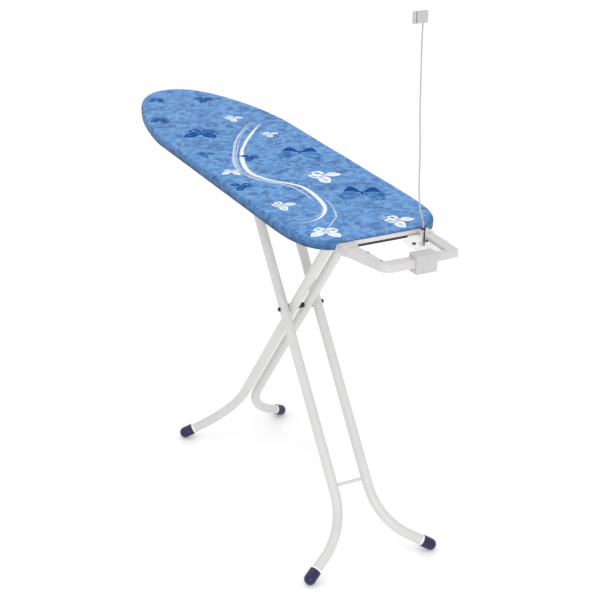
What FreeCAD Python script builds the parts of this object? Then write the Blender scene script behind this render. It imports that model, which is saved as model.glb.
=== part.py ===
"""Folding ironing board with an iron rest and a cord holder, one STEP file per piece.

Millimetres. X runs from the nose (-X) to the iron rest (+X), Y across the board, Z up from the floor.
The origin is on the floor, in the middle of the whole length and of the width.
"""
import FreeCAD, Part
import math
import os

os.makedirs("parts", exist_ok=True)

# Overall sizes
board_length = 1195.0
rest_reach = 149.0          # tail edge to the outer face of the clamp block
board_width = 360.0
board_top = 852.0           # ironing surface above the floor
board_depth = 23.0          # cover from top to hem
nose_length = 384.0         # length over which the board narrows
nose_power = 1.34
nose_roundness = 2.40
tail_corner_x = 190.0
tail_corner_y = 112.0
tail_power = 2.95

# Board layers
cover_thickness = 1.5
hem_width = 12.0
cover_edge_radius = 5.0
cover_hem_radius = 3.0
pad_thickness = 8.0
sheet = 1.5                 # deck plate
vent_radius = 4.5
vent_pitch_x = 60.0
vent_pitch_y = 40.0
vent_margin = 34.0          # smallest distance of a vent row from the board's edge

# Fits
fit_gap = 0.05              # radial clearance of a shaft or a plug in its hole
soft_gap = 0.3              # between soft and hard pieces, and beside sliding pieces
over = 1.0                  # how far a cutting shape passes the surface that it cuts

# Leg frames
tube_radius = 12.0
tube_wall = 1.2
lean = 0.7456               # sideways travel of a leg per unit of height
pivot_drop = 284.0          # top axle down to the crossing pivot
axle_drop = 40.0            # ironing surface down to the axle and the slide bar
axle_offset = 367.4         # top axle from the middle of the board's overall length
inner_gap = 14.7            # free width between the inner tubes
pivot_gap = 2.15            # free width between an inner and an outer tube
outer_bend_radius = 176.2
outer_bend_angle = 53.4
outer_end_length = 61.2     # straight end after the bend, to the middle of the cap's round end
inner_bend_radius = 200.4
inner_bend_angle = 58.0
inner_end_length = 39.8
tube_top_over = 11.0        # tube beyond the axle at its top end
cap_wall = 2.5
cap_length = 23.5           # mouth of a foot cap to the middle of its round end
collar_wall = 1.3
collar_length = 5.0
crossbar_radius = 3.75
crossbar_above_bend = 16.8
fold_angle = 51.0           # full swing of the inner legs

# Crossing pivot
bolt_radius = 3.0
bolt_head_radius = 5.2
bolt_head_height = 3.5
bolt_edge_radius = 1.2
nut_height = 4.5
washer_radius = 11.0
spacer_radius = 6.5

# Top axle and its brackets
axle_radius = 5.0
bracket_thickness = 3.0
bracket_length = 36.0
bracket_drop = 10.0         # bracket below the axle's middle
bracket_foot = 14.0
ear_gap = 2.5               # inner tube to the bracket's ear
axle_cap_radius = 9.0
axle_cap_height = 5.0
axle_cap_wall = 1.0

# Slide bar and guide rails
roller_radius = 7.5
roller_width = 10.0
roller_end_gap = 0.6        # roller to the web of its rail
rail_wall = 2.0
rail_side_gap = 4.5         # outer tube to the rail
rail_inside = 12.0          # width inside the channel
rail_foot = 14.0
rail_end_gap = 3.0

# Height release
strip_thickness = 2.0
strip_half_width = 12.0
strip_gap = 0.4             # released strip above the slide bar
lever_x = 120.0
lever_rise = 14.0           # lever pin above the top axle
lever_pin_radius = 2.5
knuckle_length = 16.0
lever_ear_thickness = 3.0
ear_side_gap = 0.6          # knuckle to the ears beside it
ear_lift = 1.0              # ears above the top of the slide bar
ear_margin = 2.0            # ears beyond the knuckle, along the board
pin_over = 2.0              # pin beyond the ears
handle_x = -15.0
handle_width = 20.0
grip_start_y = -118.0
grip_end_y = -162.0
grip_height = 10.0
grip_width = 30.0
grip_edge_radius = 3.3

# Iron rest
rest_drop = 9.0             # ironing surface down to the top of the rest
rest_height = 18.0
rest_edge_radius = 2.5
stud_radius = 3.0
stud_height = 2.0
hub_drop = 6.0
hub_length = 26.4
hub_below = 1.0             # hub below the rest's underside
hub_near_y = (-108.0, -73.0)
hub_far_y = (88.0, 116.0)
rail_depth = 5.5            # tail rail out from the deck's rim
rail_height = 8.5
trim_height = 6.5
trim_set_back = 1.0         # trim behind the rail's face
tail_gap_length = 22.0      # how far the hem is cut back at the tail
# Corners of the rest's frame from the hubs' outer face: reach, y and corner radius
rest_corners = (
    (0.0, -105.0, 0.0),
    (120.4, -77.0, 27.0),
    (119.4, 0.0, 20.0),
    (108.4, 58.0, 20.0),
    (107.4, 113.0, 6.0),
    (46.4, 116.0, 30.0),
    (0.0, 115.0, 0.0),
    (0.0, 91.0, 0.0),
    (95.4, 88.0, 6.0),
    (93.4, -66.0, 6.0),
    (32.4, -69.0, 30.0),
    (0.0, -74.0, 0.0),
)
stud_places = ((40.4, -73.0), (90.4, -70.0))

# Cord holder
holder_reach = 63.9         # tail edge to the middle of the sleeve
holder_y = 63.1
plate_drop = 16.0           # ironing surface down to the plate
plate_thickness = 4.0
# Corners of the plate from the tail rail's outer face: reach, y and corner radius
plate_corners = (
    (0.0, 62.0, 0.0),
    (16.0, 56.0, 3.0),
    (16.0, 38.0, 3.0),
    (69.3, 40.0, 6.0),
    (70.3, 72.0, 6.0),
    (113.5, 76.0, 3.0),
    (113.5, 87.2, 0.0),
    (0.0, 87.2, 0.0),
)
screw_places = ((47.3, 50.0), (45.3, 82.4))
screw_head_radius = 4.2
screw_head_height = 3.0
screw_edge_radius = 1.2
sleeve_radius = 6.4
strip_width = 3.4           # dark strip let into the sleeve
strip_depth = 1.6
sleeve_floor = 2.0
ferrule_height = 3.0
ferrule_radius = 5.6
sleeve_height = 37.0
rod_radius = 1.6
clip_thickness = 8.0
clip_y = (11.3, 45.0)
clip_z = (488.0, 513.0)     # above the plate
slot_y = (15.7, 18.5)
slot_depth = 22.0
clip_edge_radius = 2.0
rod_lead = 1.0              # straight rod above the ferrule
rod_end_lean = 0.03         # sideways travel per unit of height at the rod's top
# The rod's way above the ferrule: y, and height above the plate
rod_points = (
    (54.8, 76.0),
    (48.9, 110.0),
    (44.3, 221.0),
    (40.4, 284.0),
    (36.8, 380.0),
    (35.3, 432.0),
    (34.7, 468.0),
    (35.4, 492.0),
)
block_length = 33.0
block_y = (-3.5, 49.0)
block_height = 42.0
block_edge_radius = 2.0

# Derived positions
x_nose = -(board_length + rest_reach) / 2
x_tail = x_nose + board_length
x_end = x_tail + rest_reach
hem_top = board_top - board_depth + cover_thickness
deck_inset = cover_thickness + soft_gap
pad_top = board_top - cover_thickness
deck_top = pad_top - pad_thickness
deck_under = deck_top - sheet
slope = math.hypot(1.0, lean)
rest_angle = math.degrees(math.atan2(1.0, lean))
axle_height = board_top - axle_drop
axle_x = axle_offset
upper_arm = pivot_drop * slope
pivot_height = axle_height - pivot_drop
pivot_x = axle_x - lean * pivot_drop
inner_half_gap = inner_gap / 2 + tube_radius
outer_half_gap = inner_half_gap + 2 * tube_radius + pivot_gap
cap_radius = tube_radius + cap_wall
collar_radius = tube_radius + collar_wall
rail_inner_y = outer_half_gap + tube_radius + rail_side_gap
rail_web_y = rail_inner_y + rail_inside
lever_height = axle_height + lever_rise
rest_top = board_top - rest_drop
rest_bottom = rest_top - rest_height
hub_top = board_top - hub_drop
rail_top = hub_top
rail_bottom = rail_top - rail_height
trim_bottom = rail_bottom - trim_height
plate_top = board_top - plate_drop
holder_x = x_tail + holder_reach
slide_x = pivot_x - lean * pivot_drop
folded_angle = math.radians(rest_angle - fold_angle)
folded_slide_x = axle_x - 2 * upper_arm * math.cos(folded_angle)
strip_bottom = axle_height + axle_radius + strip_gap


def vec(x, y, z):
    return FreeCAD.Vector(x, y, z)


def save(shape, node):
    """Write one piece to its own STEP file."""
    shape.exportStep("parts/" + node + ".step")


def box(x0, x1, y0, y1, z0, z1):
    low = vec(min(x0, x1), min(y0, y1), min(z0, z1))
    return Part.makeBox(abs(x1 - x0), abs(y1 - y0), abs(z1 - z0), low)


def rod_y(x, z, y0, y1, radius):
    """Round bar along Y from y0 to y1."""
    return Part.makeCylinder(radius, abs(y1 - y0), vec(x, min(y0, y1), z), vec(0, 1, 0))


def ring_y(x, z, y0, y1, outer, inner):
    return rod_y(x, z, y0, y1, outer).cut(rod_y(x, z, y0 - over, y1 + over, inner))


def rod_z(x, y, z0, z1, radius):
    """Round bar along Z from z0 to z1."""
    return Part.makeCylinder(radius, z1 - z0, vec(x, y, z0))


def group(solids):
    return Part.makeCompound(solids)


def tail_half_width(back):
    """Half width of the board at a distance in front of the tail edge."""
    reach = 1 - min(back / tail_corner_x, 1.0)
    round_part = (1 - reach ** tail_power) ** (1 / tail_power)
    return board_width / 2 - tail_corner_y + tail_corner_y * round_part


def nose_half_width(along):
    """Half width of the board at a distance behind the nose tip."""
    rise = 1 - (1 - min(along / nose_length, 1.0)) ** nose_power
    return board_width / 2 * rise ** (1 / nose_roundness)


def half_outline():
    """Finely spaced points of the +Y half of the outline, from the nose tip to the tail's middle."""
    steps = 400
    quarter = [math.pi / 2 * i / steps for i in range(steps + 1)]
    points = []
    for t in quarter:
        along = nose_length * (1 - math.cos(t))
        points.append((x_nose + along, nose_half_width(along)))
    straight = board_length - nose_length - tail_corner_x
    for i in range(1, steps):
        points.append((x_nose + nose_length + straight * i / steps, board_width / 2))
    for t in quarter:
        back = tail_corner_x * (1 - math.sin(t))
        points.append((x_tail - back, tail_half_width(back)))
    end_y = points[-1][1]
    for i in range(1, 41):
        points.append((x_tail, end_y * (1 - i / 40)))
    return points


def outline_wire(inset, z, spacing=22.0):
    """Closed smooth wire around the board, moved inward by inset."""
    dense = half_outline()
    side = []
    walked = spacing
    for i in range(1, len(dense) - 1):
        ax, ay = dense[i - 1]
        bx, by = dense[i + 1]
        x, y = dense[i]
        length = math.hypot(bx - ax, by - ay)
        walked += math.hypot(x - ax, y - ay)
        if walked >= spacing and y > spacing / 2:
            side.append((x + inset * (by - ay) / length, y - inset * (bx - ax) / length))
            walked = 0.0
    loop = [(x_nose + inset, 0.0)] + side + [(x_tail - inset, 0.0)]
    loop += [(x, -y) for x, y in reversed(side)]
    curve = Part.BSplineCurve()
    curve.interpolate([vec(x, y, z) for x, y in loop], True)
    return Part.Wire(curve.toShape())


def slab(inset, z0, z1):
    """Board-shaped slab between two heights."""
    return Part.Face(outline_wire(inset, z0)).extrude(vec(0, 0, z1 - z0))


def edges_at(shape, z):
    """Edges that lie wholly at one height."""
    found = []
    for edge in shape.Edges:
        bounds = edge.BoundBox
        if abs(bounds.ZMin - z) < 0.01 and abs(bounds.ZMax - z) < 0.01:
            found.append(edge)
    return found


def rounded_prism(corners, z0, z1):
    """Upright prism on a polygon of (x, y, corner radius); a radius of 0 leaves a sharp corner."""
    edges = []
    count = len(corners)
    ends = []
    for i in range(count):
        x, y, radius = corners[i]
        before = vec(corners[i - 1][0] - x, corners[i - 1][1] - y, 0)
        after = vec(corners[(i + 1) % count][0] - x, corners[(i + 1) % count][1] - y, 0)
        before.normalize()
        after.normalize()
        half = before.getAngle(after) / 2
        reach = radius / math.tan(half)
        middle = before + after
        middle.normalize()
        corner = vec(x, y, z0)
        depth = radius / math.sin(half) - radius
        ends.append((corner + before * reach, corner + middle * depth, corner + after * reach))
    for i in range(count):
        start, middle, end = ends[i]
        if corners[i][2] > 0:
            edges.append(Part.Arc(start, middle, end).toShape())
        following = ends[(i + 1) % count][0]
        if end.distanceToPoint(following) > 0.01:
            edges.append(Part.makeLine(end, following))
    return Part.Face(Part.Wire(edges)).extrude(vec(0, 0, z1 - z0))


# Board: deck, pad and cover
outer_skin = slab(0.0, board_top - board_depth, board_top)
outer_skin = outer_skin.makeFillet(cover_edge_radius, edges_at(outer_skin, board_top))
outer_skin = outer_skin.makeFillet(cover_hem_radius, edges_at(outer_skin, board_top - board_depth))
cavity = slab(cover_thickness, hem_top, pad_top)
cavity = cavity.makeFillet(cover_edge_radius - cover_thickness, edges_at(cavity, pad_top))
mouth = slab(cover_thickness + hem_width, hem_top - 2 * cover_thickness, hem_top + cover_thickness)
tail_gap = box(x_tail - tail_gap_length, x_tail + over, hub_near_y[0], hub_far_y[1],
               board_top - board_depth - over, rail_top + soft_gap)
cover = outer_skin.cut(cavity).cut(mouth).cut(tail_gap)
save(cover, "cover")

pad = slab(deck_inset, deck_top, pad_top)
pad = pad.makeFillet(cover_edge_radius - cover_thickness, edges_at(pad, pad_top))
save(pad, "pad")

deck = slab(deck_inset, hem_top + soft_gap, deck_top)
deck = deck.cut(slab(deck_inset + sheet, hem_top, deck_under))
vents = []
vent_x = x_nose + vent_pitch_x
while vent_x < x_tail - vent_margin:
    reach = min(nose_half_width(vent_x - x_nose), tail_half_width(x_tail - vent_x)) - vent_margin
    rows = int(reach // vent_pitch_y)
    for row in range(-rows, rows + 1):
        vents.append(rod_z(vent_x, row * vent_pitch_y, deck_under - over, deck_top + over, vent_radius))
    vent_x += vent_pitch_x
deck = deck.cut(group(vents))
save(deck, "deck")

# Tail rail with its dark trim, between the hubs of the iron rest
rim_x = x_tail - deck_inset + fit_gap
save(box(rim_x, rim_x + rail_depth, hub_near_y[1], hub_far_y[0], rail_bottom, rail_top), "tail_rail")
trim_x = rim_x + rail_depth - trim_set_back
save(box(rim_x, trim_x, hub_near_y[1], hub_far_y[0], trim_bottom, rail_bottom), "tail_trim")

# Guide rails for the slide bar, hung under the deck
rail_half_height = roller_radius + soft_gap
rail_x0 = folded_slide_x - roller_radius - rail_end_gap
rail_x1 = slide_x + roller_radius + rail_end_gap


def guide_rail(side):
    """Channel that opens toward the middle of the board, closed at both ends."""
    low = axle_height - rail_half_height
    high = axle_height + rail_half_height
    web_out = rail_web_y + rail_wall
    x0 = rail_x0 - rail_wall
    x1 = rail_x1 + rail_wall
    body = box(x0, x1, side * rail_inner_y, side * web_out, low - rail_wall, high + rail_wall)
    body = body.cut(box(rail_x0, rail_x1, side * (rail_inner_y - over), side * rail_web_y, low, high))
    body = body.fuse(box(x0, x1, side * rail_web_y, side * web_out, high, deck_under))
    foot = box(x0, x1, side * web_out, side * (web_out + rail_foot), deck_under - rail_wall, deck_under)
    return body.fuse(foot).removeSplitter()


save(guide_rail(-1), "guide_rail_near")
save(guide_rail(1), "guide_rail_far")

# Brackets and axle at the top of the inner legs
ear_y = inner_half_gap + tube_radius + ear_gap
ear_low = axle_height - bracket_drop


def axle_bracket(side):
    half = bracket_length / 2
    outer = ear_y + bracket_thickness
    ear = box(axle_x - half, axle_x + half, side * ear_y, side * outer, ear_low, deck_under)
    foot_y = outer + bracket_foot
    foot = box(axle_x - half, axle_x + half, side * outer, side * foot_y,
               deck_under - bracket_thickness, deck_under)
    bracket = ear.fuse(foot).removeSplitter()
    return bracket.cut(rod_y(axle_x, axle_height, -foot_y, foot_y, axle_radius + fit_gap))


cap_y = ear_y + bracket_thickness
axle_end = cap_y + axle_cap_height
save(group([axle_bracket(-1), axle_bracket(1)]), "axle_brackets")
save(rod_y(axle_x, axle_height, -axle_end, axle_end, axle_radius), "top_axle")
axle_caps = []
for side in (-1, 1):
    y0, y1 = sorted((side * cap_y, side * (cap_y + axle_cap_height + axle_cap_wall)))
    blind = rod_y(axle_x, axle_height, side * (cap_y - over), side * axle_end, axle_radius + fit_gap)
    axle_caps.append(rod_y(axle_x, axle_height, y0, y1, axle_cap_radius).cut(blind))
save(group(axle_caps), "axle_caps")


def bend_start_below(bend_radius, bend_angle, end_length):
    """Distance from the crossing pivot down the leg to the start of the outward bend."""
    angle = math.radians(bend_angle)
    whole = (pivot_height - cap_radius) * slope
    return whole - bend_radius * math.sin(angle) - end_length * math.cos(angle)


def leg(down, side, half_gap, bend_radius, bend_angle, end_length):
    """Bent leg tube; returns the hollow tube, its end point and the direction it points."""
    out = vec(0, side, 0)
    pivot = vec(pivot_x, side * half_gap, pivot_height)
    start = pivot - down * (upper_arm + tube_top_over)
    bend = pivot + down * bend_start_below(bend_radius, bend_angle, end_length)
    angle = math.radians(bend_angle)
    axis = down.cross(out)
    centre = bend + out * bend_radius
    bend_end = centre + (out * -math.cos(angle) + down * math.sin(angle)) * bend_radius
    heading = down * math.cos(angle) + out * math.sin(angle)
    section = Part.Face(Part.Wire(Part.makeCircle(tube_radius, start, down)))
    section = section.cut(Part.Face(Part.Wire(Part.makeCircle(tube_radius - tube_wall, start, down))))
    upper = section.extrude(bend - start)
    bent = section.copy()
    bent.translate(bend - start)
    turn = bent.revolve(centre, axis, bend_angle)
    last = bent.copy()
    last.rotate(centre, axis, bend_angle)
    lower = last.extrude(heading * end_length)
    tube = upper.fuse([turn, lower]).removeSplitter()
    return tube, bend_end + heading * end_length, heading


def foot_cap(end, heading):
    """Plastic foot with a round end, pushed over the tube."""
    base = end - heading * cap_length
    cap = Part.makeCylinder(cap_radius, cap_length, base, heading)
    cap = cap.fuse(Part.makeSphere(cap_radius, end)).removeSplitter()
    bore = Part.makeCylinder(tube_radius + fit_gap, cap_length + fit_gap, base, heading)
    return cap.cut(bore)


def foot_collar(end, heading):
    base = end - heading * (cap_length + collar_length)
    ring = Part.makeCylinder(collar_radius, collar_length, base, heading)
    return ring.cut(Part.makeCylinder(tube_radius + fit_gap, collar_length, base, heading))


def leg_pair(prefix, down, half_gap, bend_radius, bend_angle, end_length, holes):
    """Save both tubes of a leg frame with their caps and collars."""
    caps = []
    collars = []
    for side, name in ((-1, "near"), (1, "far")):
        tube, end, heading = leg(down, side, half_gap, bend_radius, bend_angle, end_length)
        save(tube.cut(group(holes)), prefix + "_leg_" + name)
        caps.append(foot_cap(end, heading))
        collars.append(foot_collar(end, heading))
    save(group(caps), prefix + "_foot_caps")
    save(group(collars), prefix + "_foot_collars")


inner_down = vec(-lean / slope, 0, -1 / slope)
outer_down = vec(lean / slope, 0, -1 / slope)
inner_span = inner_half_gap + tube_radius
outer_span = outer_half_gap + tube_radius
outer_bend_start = bend_start_below(outer_bend_radius, outer_bend_angle, outer_end_length)
crossbar_distance = outer_bend_start - crossbar_above_bend
crossbar_x = pivot_x + outer_down.x * crossbar_distance
crossbar_z = pivot_height + outer_down.z * crossbar_distance

bolt_hole = rod_y(pivot_x, pivot_height, -outer_span, outer_span, bolt_radius + fit_gap)
axle_hole = rod_y(axle_x, axle_height, -inner_span, inner_span, axle_radius + fit_gap)
slide_hole = rod_y(slide_x, axle_height, -outer_span, outer_span, axle_radius + fit_gap)
crossbar_hole = rod_y(crossbar_x, crossbar_z, -outer_half_gap, outer_half_gap, crossbar_radius + fit_gap)

leg_pair("inner", inner_down, inner_half_gap, inner_bend_radius, inner_bend_angle, inner_end_length,
         [bolt_hole, axle_hole])
leg_pair("outer", outer_down, outer_half_gap, outer_bend_radius, outer_bend_angle, outer_end_length,
         [bolt_hole, slide_hole, crossbar_hole])

# Crossing pivot
head_y = outer_span + soft_gap
bolt = rod_y(pivot_x, pivot_height, -head_y, head_y + bolt_head_height, bolt_radius)
head = rod_y(pivot_x, pivot_height, -head_y - bolt_head_height, -head_y, bolt_head_radius)
head_rim = [e for e in head.Edges if e.BoundBox.YMax < -head_y - bolt_edge_radius]
head = head.makeFillet(bolt_edge_radius, head_rim)
save(bolt.fuse(head).removeSplitter(), "pivot_bolt")
nut = rod_y(pivot_x, pivot_height, head_y, head_y + nut_height, bolt_head_radius)
nut_rim = [e for e in nut.Edges if e.BoundBox.YMin > head_y + bolt_edge_radius]
nut = nut.makeFillet(bolt_edge_radius, nut_rim)
nut = nut.cut(rod_y(pivot_x, pivot_height, head_y - over, head_y + bolt_head_height, bolt_radius + fit_gap))
save(nut, "pivot_nut")
spacer_y = inner_half_gap - tube_radius - fit_gap
save(ring_y(pivot_x, pivot_height, -spacer_y, spacer_y, spacer_radius, bolt_radius + fit_gap), "pivot_spacer")
washer_low = inner_span + soft_gap
washer_high = outer_half_gap - tube_radius - soft_gap
washers = []
for y0 in (-washer_high, washer_low):
    y1 = y0 + washer_high - washer_low
    washers.append(ring_y(pivot_x, pivot_height, y0, y1, washer_radius, bolt_radius + fit_gap))
save(group(washers), "pivot_washers")

# Crossbar, slide bar and rollers of the outer legs
crossbar_end = outer_half_gap - fit_gap
save(rod_y(crossbar_x, crossbar_z, -crossbar_end, crossbar_end, crossbar_radius), "crossbar")
bar_end = rail_web_y - roller_end_gap
save(rod_y(slide_x, axle_height, -bar_end, bar_end, axle_radius), "slide_bar")
rollers = []
for y0 in (-bar_end, bar_end - roller_width):
    rollers.append(ring_y(slide_x, axle_height, y0, y0 + roller_width, roller_radius, axle_radius + fit_gap))
save(group(rollers), "slide_rollers")

# Height release: a strip over the slide bar, its knuckle, side arm and grip
strip_top = strip_bottom + strip_thickness
knuckle = knuckle_length / 2
strip = box(rail_x0, lever_x, -strip_half_width, strip_half_width, strip_bottom, strip_top)
eye = box(lever_x - knuckle, lever_x + knuckle, -strip_half_width, strip_half_width,
          strip_bottom, lever_height + knuckle)
arm = box(handle_x - handle_width / 2, handle_x + handle_width / 2, grip_start_y, 0, strip_bottom, strip_top)
strip = strip.fuse([eye, arm]).removeSplitter()
lug_y = strip_half_width + ear_side_gap
lug_out = lug_y + lever_ear_thickness
pin_hole = rod_y(lever_x, lever_height, -lug_out, lug_out, lever_pin_radius + fit_gap)
strip = strip.cut(pin_hole)
save(strip, "release_lever")
grip_low = (strip_bottom + strip_top - grip_height) / 2
grip = box(handle_x - grip_width / 2, handle_x + grip_width / 2, grip_end_y, grip_start_y,
           grip_low, grip_low + grip_height)
save(grip.makeFillet(grip_edge_radius, grip.Edges), "release_grip")

lug_low = axle_height + axle_radius + ear_lift
lug_reach = knuckle + ear_margin
lugs = box(lever_x - lug_reach, lever_x + lug_reach, -lug_out, lug_out, lug_low, deck_under)
lugs = lugs.cut(box(lever_x - 2 * knuckle, lever_x + 2 * knuckle, -lug_y, lug_y,
                    lug_low - over, deck_under - lever_ear_thickness))
save(lugs.cut(pin_hole), "lever_bracket")
pin_end = lug_out + pin_over
save(rod_y(lever_x, lever_height, -pin_end, pin_end, lever_pin_radius), "lever_pin")

# Iron rest: hubs, frame, studs
hubs = []
for y0, y1 in (hub_near_y, hub_far_y):
    hub = box(rim_x, rim_x + hub_length, y0, y1, rest_bottom - hub_below, hub_top)
    hubs.append(hub.makeFillet(rest_edge_radius, edges_at(hub, hub_top)))
save(group(hubs), "rest_hubs")

hub_x = rim_x + hub_length
rest_outline = []
for reach, y, radius in rest_corners:
    rest_outline.append((hub_x + reach, y, radius))
rest_frame = rounded_prism(rest_outline, rest_bottom, rest_top)
rims = [e for e in edges_at(rest_frame, rest_top) if e.BoundBox.XMax > hub_x + fit_gap]
rest_frame = rest_frame.makeFillet(rest_edge_radius, rims)
save(rest_frame, "rest_frame")
studs = []
for reach, y in stud_places:
    studs.append(rod_z(hub_x + reach, y, rest_top, rest_top + stud_height, stud_radius))
save(group(studs), "rest_studs")

# Cord holder: bracket plate, screws, socket sleeve, bent rod and clip
plate_outline = []
for reach, y, radius in plate_corners:
    plate_outline.append((rim_x + rail_depth + reach, y, radius))
plate = rounded_prism(plate_outline, plate_top - plate_thickness, plate_top)
save(plate, "holder_plate")
screws = []
screw_top = plate_top + screw_head_height
for reach, y in screw_places:
    head = rod_z(rim_x + rail_depth + reach, y, plate_top, screw_top, screw_head_radius)
    screws.append(head.makeFillet(screw_edge_radius, edges_at(head, screw_top)))
save(group(screws), "holder_screws")
sleeve_top = plate_top + sleeve_height
sleeve = rod_z(holder_x, holder_y, plate_top, sleeve_top, sleeve_radius)
ferrule_top = sleeve_top + ferrule_height
socket = rod_z(holder_x, holder_y, plate_top + sleeve_floor, ferrule_top, rod_radius + fit_gap)
strip_inner = holder_x + sleeve_radius - strip_depth
strip_room = box(strip_inner, holder_x + sleeve_radius + over,
                 holder_y - strip_width / 2, holder_y + strip_width / 2, plate_top + sleeve_floor, sleeve_top)
save(sleeve.cut(socket).cut(strip_room), "holder_sleeve")
save(sleeve.common(strip_room), "sleeve_strip")
ferrule = rod_z(holder_x, holder_y, sleeve_top, ferrule_top, ferrule_radius)
save(ferrule.cut(socket), "sleeve_cap")

rod_bottom = vec(holder_x, holder_y, plate_top + sleeve_floor + fit_gap)
rod_clear = vec(holder_x, holder_y, ferrule_top + rod_lead)
rod_path = [rod_clear]
for y, rise in rod_points:
    rod_path.append(vec(holder_x, y, plate_top + rise))
spine = Part.BSplineCurve()
spine.interpolate(Points=rod_path, InitialTangent=vec(0, 0, 1), FinalTangent=vec(0, rod_end_lean, 1))
spine_wire = Part.Wire([Part.makeLine(rod_bottom, rod_clear), spine.toShape()])
rod_section = Part.Face(Part.Wire(Part.makeCircle(rod_radius, rod_bottom, vec(0, 0, 1))))
cord_rod = spine_wire.makePipe(rod_section)
save(cord_rod, "cord_rod")

half_clip = clip_thickness / 2
clip_top = plate_top + clip_z[1]
clip = box(holder_x - half_clip, holder_x + half_clip, clip_y[0], clip_y[1], plate_top + clip_z[0], clip_top)
clip = clip.makeFillet(clip_edge_radius, clip.Edges)
clip = clip.cut(box(holder_x - clip_thickness, holder_x + clip_thickness, slot_y[0], slot_y[1],
                    clip_top - slot_depth, clip_top + over))
clip = clip.cut(cord_rod)
save(clip, "cord_clip")

# Grey block clamped over the outer bar of the rest
block = box(x_end - block_length, x_end, block_y[0], block_y[1], board_top - block_height, board_top)
block = block.makeFillet(block_edge_radius, block.Edges)
save(block.cut(rest_frame), "clamp_block")
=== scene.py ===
"""Ironing board with an iron rest and a cord holder: its soft pieces, its finishes and its stage."""

import math

import bmesh
import bpy
import numpy as np
from bpy.props import FloatProperty, FloatVectorProperty, PointerProperty
from mathutils import Matrix, Vector


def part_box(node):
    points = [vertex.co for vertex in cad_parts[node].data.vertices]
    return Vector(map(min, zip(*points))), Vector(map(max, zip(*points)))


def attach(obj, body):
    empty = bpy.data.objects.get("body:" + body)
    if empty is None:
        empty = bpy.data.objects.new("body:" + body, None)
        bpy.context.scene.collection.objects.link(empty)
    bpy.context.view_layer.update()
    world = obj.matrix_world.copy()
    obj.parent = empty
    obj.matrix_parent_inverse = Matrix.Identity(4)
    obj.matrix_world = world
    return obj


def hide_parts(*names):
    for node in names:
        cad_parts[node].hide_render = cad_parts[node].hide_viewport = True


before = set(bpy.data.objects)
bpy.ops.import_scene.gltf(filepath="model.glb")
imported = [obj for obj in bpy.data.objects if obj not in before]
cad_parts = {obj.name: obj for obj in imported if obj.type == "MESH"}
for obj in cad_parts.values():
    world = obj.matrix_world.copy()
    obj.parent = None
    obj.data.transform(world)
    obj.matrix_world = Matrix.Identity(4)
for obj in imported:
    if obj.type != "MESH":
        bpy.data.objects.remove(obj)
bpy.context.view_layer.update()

bl_info = {
    "name": "Ironing Board",
    "version": (1, 0, 0),
    "blender": (4, 5, 0),
    "location": "View3D > Sidebar > Board",
    "description": "Builds the cover, the pad, the print and the finishes of an ironing board",
    "category": "Add Mesh",
}

MM = 0.001
COVER_LOW, COVER_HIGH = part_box("cover")
PAD_LOW, PAD_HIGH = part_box("pad")
TIP = COVER_LOW[0]
TAIL = COVER_HIGH[0]

# The outline of the board's top: its nose and its two rounded tail corners.
NOSE_LENGTH = 384 * MM
NOSE_POWER = 1.34
NOSE_ROUNDNESS = 2.40
CORNER_ALONG = 190 * MM
CORNER_ACROSS = 112 * MM
CORNER_POWER = 2.95
HALF_WIDTH = 180 * MM
OUTLINE_STEPS = 450
WING_STEPS = 19

# Where the skirt is short for the iron rest: from x, between two sides y, easing in over a short way.
REST_FROM = 500 * MM
REST_NEAR = -113 * MM
REST_FAR = 121 * MM
REST_EASE = 5 * MM

# The print lies this high over the cloth's surface, and so low that its edge casts no shadow.
BUTTERFLY_LIFT = 0.2 * MM
RIBBON_LIFT = 0.15 * MM


def linear(code):
    """The linear red, green, blue and alpha of an sRGB hex colour."""
    parts = np.array([int(code[i : i + 2], 16) for i in (1, 3, 5)]) / 255
    straight = np.where(parts <= 0.04045, parts / 12.92, ((parts + 0.055) / 1.055) ** 2.4)
    return (*(float(c) for c in straight), 1.0)


def length(name, words, millimetres):
    """A length that the user can change."""
    return FloatProperty(name=name, description=words, default=millimetres * MM, unit="LENGTH", precision=4)


def colour(name, words, code):
    """A colour that the user can change."""
    return FloatVectorProperty(
        name=name, description=words, default=linear(code), size=4, min=0, max=1, subtype="COLOR"
    )


class CoverSettings(bpy.types.PropertyGroup):
    edge_roll: length("Edge roll", "Radius with which the cloth turns over the board's edge", 8)
    skirt_depth: length("Skirt depth", "From the top of the board down to the hem", 23)
    tail_depth: length("Tail depth", "Depth of the skirt where the iron rest leaves the board", 5.7)
    hem_roll: length("Hem roll", "Radius of the turn under the board", 2)
    hem_width: length("Hem width", "How far the hem is drawn in under the board", 12)
    thickness: length("Thickness", "Thickness of the cloth", 1.1)
    waviness: length("Waviness", "Height of the slow waves in the cloth", 0.45)
    gathers: length("Gathers", "Depth of the gathers at the hem", 0.3)
    dark: colour("Dark cloud", "Darkest blue of the clouded ground", "#2c619f")
    middle: colour("Middle cloud", "Middle blue of the clouded ground", "#4c83bf")
    light: colour("Light cloud", "Lightest blue of the clouded ground", "#6fa4dc")
    white_ink: colour("White ink", "Colour of the white butterflies and the ribbon", "#eef5fc")
    dark_ink: colour("Dark ink", "Colour of the dark butterflies", "#04478c")


class PadSettings(bpy.types.PropertyGroup):
    inset: length("Inset", "Distance of the pad's side from the board's outline", 3.2)
    roll: length("Roll", "Radius of the pad's edges", 3.6)
    felt: colour("Felt", "Colour of the felt", "#cfcdc4")


class FrameSettings(bpy.types.PropertyGroup):
    leg_paint: colour("Leg paint", "Powder coat of the legs", "#d1d1d0")
    rest_paint: colour("Rest paint", "Enamel of the iron rest", "#c8c6c7")
    foot: colour("Foot", "Rubber of the foot caps", "#140b48")
    collar: colour("Collar", "Nylon of the collars above the feet", "#f1f0ee")


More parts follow.
